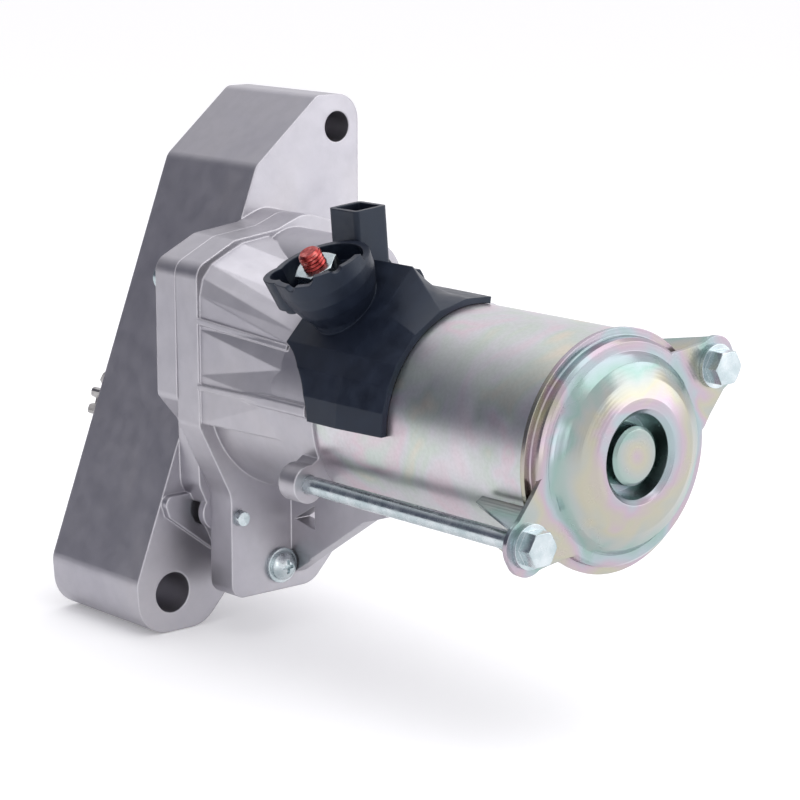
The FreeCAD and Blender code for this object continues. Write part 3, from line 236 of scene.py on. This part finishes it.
def passivate_tint(paint, size_mm, base):
    """Pale oil-film colours of yellow-passivated zinc, in soft patches over a base colour."""
    patches = paint.noise(size_mm, 2.5, distortion=1.6)
    film = paint.ramp(patches, (0.30, (0.78, 0.71, 0.56)), (0.42, (0.60, 0.70, 0.62)),
                      (0.52, (0.70, 0.70, 0.74)), (0.62, (0.78, 0.62, 0.70)), (0.74, (0.62, 0.72, 0.66)))
    return paint.mix("MIX", 0.55, base, film)


def yoke_zinc():
    paint = Paint("zinc_yoke", Metallic=1.0)
    paint.soft_edges(0.3)
    paint.bump(paint.noise(0.7, 3.0), 0.02, 0.5)
    speckle = paint.ramp(paint.noise(1.1, 3.0), (0.35, (0.38, 0.37, 0.365)), (0.65, (0.47, 0.46, 0.465)))
    colour = passivate_tint(paint, 42.0, speckle)
    return paint.finish(colour, paint.patchy(16.0, 4.0, 0.30, 0.42))


def cover_zinc():
    paint = Paint("zinc_cover", Metallic=1.0)
    paint.soft_edges(0.3)
    distance = paint.radius()
    rings = paint.math("SINE", paint.math("MULTIPLY", distance, RING_RADIANS_PER_MM))
    paint.bump(rings, 0.012, 0.35)
    paint.bump(paint.noise(0.6, 3.0), 0.012, 0.4)
    drift = paint.math("MULTIPLY", paint.noise(26.0, 2.0, distortion=1.0), BAND_WANDER_MM)
    wander = paint.math("ADD", distance, drift)
    bands = paint.math("FRACT", paint.math("DIVIDE", wander, BAND_WIDTH_MM))
    film = paint.ramp(bands, (0.0, (0.36, 0.38, 0.35)), (0.2, (0.23, 0.37, 0.32)), (0.4, (0.34, 0.41, 0.44)),
                      (0.58, (0.46, 0.33, 0.40)), (0.78, (0.44, 0.40, 0.28)), (1.0, (0.36, 0.38, 0.35)))
    colour = paint.mix("MIX", 0.70, (0.36, 0.40, 0.42, 1), film)
    return paint.finish(colour, paint.patchy(12.0, 4.0, 0.17, 0.30))


def bright_zinc():
    paint = Paint("bright_zinc", Metallic=1.0)
    paint.soft_edges(0.35)
    paint.bump(paint.noise(0.8, 3.0), 0.02, 0.4)
    colour = paint.ramp(paint.noise(6.0, 3.0), (0.3, (0.40, 0.48, 0.50)), (0.7, (0.62, 0.67, 0.69)))
    return paint.finish(colour, paint.patchy(2.5, 4.0, 0.18, 0.34))


def black_nylon():
    paint = Paint("black_nylon", Metallic=0.0, IOR=1.42, Coat_Weight=0.12, Coat_Roughness=0.30,
                  Specular_Tint=(0.66, 0.80, 1.0, 1))
    paint.soft_edges(0.7)
    paint.bump(paint.noise(0.5, 3.0), 0.02, 0.6)
    paint.bump(paint.noise(9.0, 2.0), 0.15, 0.3)
    colour = paint.ramp(paint.noise(8.0, 4.0), (0.3, (0.005, 0.007, 0.014)), (0.7, (0.010, 0.014, 0.026)))
    return paint.finish(colour, paint.patchy(4.0, 4.0, 0.34, 0.50))


def metal(name, dark, light, rough_low, rough_high, grain_mm=1.0, depth_mm=0.015, stretch=(1, 1, 1)):
    """A plain machined or drawn metal, with grain that can run along one axis."""
    paint = Paint(name, Metallic=1.0)
    paint.soft_edges(0.2)
    paint.bump(paint.noise(grain_mm, 3.0, stretch), depth_mm, 0.5)
    colour = paint.ramp(paint.noise(5.0, 4.0, stretch), (0.3, dark), (0.7, light))
    return paint.finish(colour, paint.patchy(3.0, 3.0, rough_low, rough_high))


def moulded(name, dark, light, rough_low, rough_high):
    paint = Paint(name, Metallic=0.0)
    paint.soft_edges(0.3)
    paint.bump(paint.noise(0.8, 4.0), 0.03, 0.6)
    colour = paint.ramp(paint.noise(4.0, 4.0), (0.3, dark), (0.7, light))
    return paint.finish(colour, paint.patchy(3.0, 3.0, rough_low, rough_high))


def copper_thread():
    paint = Paint("copper_thread", Metallic=1.0)
    paint.bump(paint.noise(0.6, 3.0), 0.02, 0.6)
    colour = paint.ramp(paint.noise(1.6, 4.0), (0.3, (0.16, 0.015, 0.015)), (0.55, (0.44, 0.07, 0.065)),
                        (0.8, (0.74, 0.30, 0.27)))
    return paint.finish(colour, paint.patchy(1.2, 3.0, 0.16, 0.34))


# grain: turned bars have fine rings along the motor's axis, the core shows its stacked sheets
TURNED = (1, 8, 1)
STACKED = (0.2, 12, 0.2)

MATERIALS = {
    "die_cast_aluminium": cast_aluminium,
    "zinc_steel": yoke_zinc,
    "bright_zinc_steel": bright_zinc,
    "black_plastic": black_nylon,
    "copper": copper_thread,
    "bare_copper": lambda: metal("bare_copper", (0.62, 0.28, 0.16), (0.80, 0.44, 0.29), 0.25, 0.40),
    "bearing_steel": lambda: metal("bearing_steel", (0.52, 0.52, 0.53), (0.66, 0.66, 0.67), 0.12, 0.25,
                                   1.0, 0.008, TURNED),
    "gear_steel": lambda: metal("gear_steel", (0.24, 0.23, 0.23), (0.42, 0.41, 0.40), 0.26, 0.42, 0.8, 0.02),
    "core_iron": lambda: metal("core_iron", (0.14, 0.14, 0.15), (0.27, 0.27, 0.28), 0.40, 0.60,
                               0.7, 0.03, STACKED),
    "spring_steel": lambda: metal("spring_steel", (0.24, 0.24, 0.26), (0.42, 0.42, 0.44), 0.22, 0.36,
                                  0.6, 0.01),
    "bronze": lambda: metal("bronze", (0.46, 0.30, 0.13), (0.66, 0.47, 0.24), 0.36, 0.52, 0.4, 0.03),
    "ferrite": lambda: moulded("ferrite", (0.045, 0.045, 0.05), (0.09, 0.09, 0.10), 0.50, 0.70),
    "carbon": lambda: moulded("carbon", (0.05, 0.045, 0.045), (0.12, 0.10, 0.09), 0.40, 0.60),
    "insulation": lambda: moulded("insulation", (0.11, 0.05, 0.025), (0.20, 0.10, 0.05), 0.35, 0.50),
    "seal_rubber": lambda: moulded("seal_rubber", (0.012, 0.012, 0.012), (0.03, 0.03, 0.03), 0.50, 0.70),
}


def dress_nodes():
    """Gives every CAD node the material of its slot, and the pressed cover its own brighter one."""
    made = {}
    for part in frame["record"]["subparts"]:
        slot = part["material_slot"]
        if slot not in made:
            made[slot] = MATERIALS[slot]()
        material = cover_zinc() if part["node"] == "rear_cover" else made[slot]
        node = frame["nodes"][part["node"]]
        node.data.materials.clear()
        node.data.materials.append(material)
    return made


# ---------------------------------------------------------------- pieces
def threaded_stud(material):
    """The battery stud with its thread cut, standing for the plain CAD cylinder."""
    mount = next(m for m in frame["record"]["mounts"] if m["name"] == "battery_stud_end")
    axis = Vector(mount["axis"]).normalized()
    radius = mount["dims"]["r_mm"] * MM
    tip = mount["dims"]["length_mm"] * MM / 2 + TIP_BEYOND_END * MM
    foot = THREAD_FOOT * MM
    pitch = THREAD_PITCH * MM
    depth = THREAD_DEPTH * MM
    side = axis.orthogonal().normalized()
    other = axis.cross(side)
    shape = bmesh.new()
    rings = []
    for row in range(THREAD_ROWS + 1):
        height = foot + (tip - foot) * row / THREAD_ROWS
        ring = []
        for step in range(THREAD_STEPS):
            angle = 2 * math.pi * step / THREAD_STEPS
            phase = (height / pitch - step / THREAD_STEPS) % 1.0
            groove = depth * abs(2 * phase - 1)
            reach = min(radius - groove, radius - TIP_CHAMFER * MM + (tip - height))
            point = side * (reach * math.cos(angle)) + other * (reach * math.sin(angle)) + axis * height
            ring.append(shape.verts.new(Vector(mount["pos_m"]) + point))
        rings.append(ring)
    for low, high in zip(rings, rings[1:]):
        for step in range(THREAD_STEPS):
            following = (step + 1) % THREAD_STEPS
            shape.faces.new((low[step], low[following], high[following], high[step]))
    shape.faces.new(list(reversed(rings[0])))
    shape.faces.new(rings[-1])
    mesh = bpy.data.meshes.new("stud_thread")
    shape.to_mesh(mesh)
    shape.free()
    mesh.materials.append(material)
    for polygon in mesh.polygons:
        polygon.use_smooth = len(polygon.vertices) == 4
    stud = bpy.data.objects.new("stud_thread", mesh)
    bpy.context.collection.objects.link(stud)
    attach(stud, "motor_frame")
    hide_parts("battery_stud")


def working_spring(name, joint, fixed_y_mm, length_mm, stroke_mm):
    """A copy of the coil spring on the motor frame, standing for its CAD node."""
    node = frame["nodes"][name]
    piece = bpy.data.objects.new(name + "_coil", node.data.copy())
    bpy.context.collection.objects.link(piece)
    piece.matrix_world = node.matrix_world.copy()
    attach(piece, "motor_frame")
    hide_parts(name)
    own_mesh(piece)


# ---------------------------------------------------------------- studio
def studio():
    scene = bpy.context.scene
    scene.view_settings.view_transform = "Standard"
    world = bpy.data.worlds.new("studio")
    scene.world = world
    world.use_nodes = True
    nodes = world.node_tree.nodes
    links = world.node_tree.links
    direction = nodes.new("ShaderNodeTexCoord").outputs["Generated"]
    dot = nodes.new("ShaderNodeVectorMath")
    dot.operation = "DOT_PRODUCT"
    dot.inputs[1].default_value = Vector(DARK_SIDE).normalized()
    links.new(direction, dot.inputs[0])
    ramp = nodes.new("ShaderNodeValToRGB")
    for element, stop in zip(ramp.color_ramp.elements, (BRIGHT_STOP, DARK_STOP)):
        element.position, element.color = stop
    links.new(dot.outputs["Value"], ramp.inputs["Fac"])
    links.new(ramp.outputs["Color"], nodes["Background"].inputs["Color"])
    nodes["Background"].inputs["Strength"].default_value = 1.0

    lowest = cad_box[0][2]
    bpy.ops.mesh.primitive_plane_add(size=FLOOR_SIZE, location=(0, 0, lowest - FLOOR_GAP))
    floor = bpy.context.object
    floor.name = "floor"
    paint = Paint("floor_white", Roughness=0.9, Base_Color=(0.92, 0.92, 0.925, 1), Emission_Strength=0.16,
                  Emission_Color=(1.0, 1.0, 1.0, 1))
    floor.data.materials.append(paint.finish())

    for name, place, width, height, power in SOFTBOXES:
        light = bpy.data.lights.new(name, "AREA")
        light.shape = "RECTANGLE"
        light.size = width
        light.size_y = height
        light.energy = power
        lamp = bpy.data.objects.new(name, light)
        lamp.location = place
        lamp.rotation_euler = (Vector(LIGHT_AIM) - Vector(place)).to_track_quat("-Z", "Y").to_euler()
        bpy.context.collection.objects.link(lamp)


def camera():
    turn, tilt = CAMERA_TURN, CAMERA_TILT
    right = Vector((math.cos(turn), -math.sin(turn), 0))
    up = Vector((math.sin(turn) * math.sin(tilt), math.cos(turn) * math.sin(tilt), math.cos(tilt)))
    back = right.cross(up)
    data = bpy.data.cameras.new("camera")
    data.lens = CAMERA_LENS
    data.sensor_width = CAMERA_SENSOR
    eye = bpy.data.objects.new("camera", data)
    eye.matrix_world = Matrix.Translation(CAMERA_PLACE) @ Matrix((right, up, back)).transposed().to_4x4()
    bpy.context.collection.objects.link(eye)
    bpy.context.scene.camera = eye


made = dress_nodes()
threaded_stud(made["copper"])
for spring in SPRINGS:
    working_spring(*spring, STROKE)
studio()
camera()
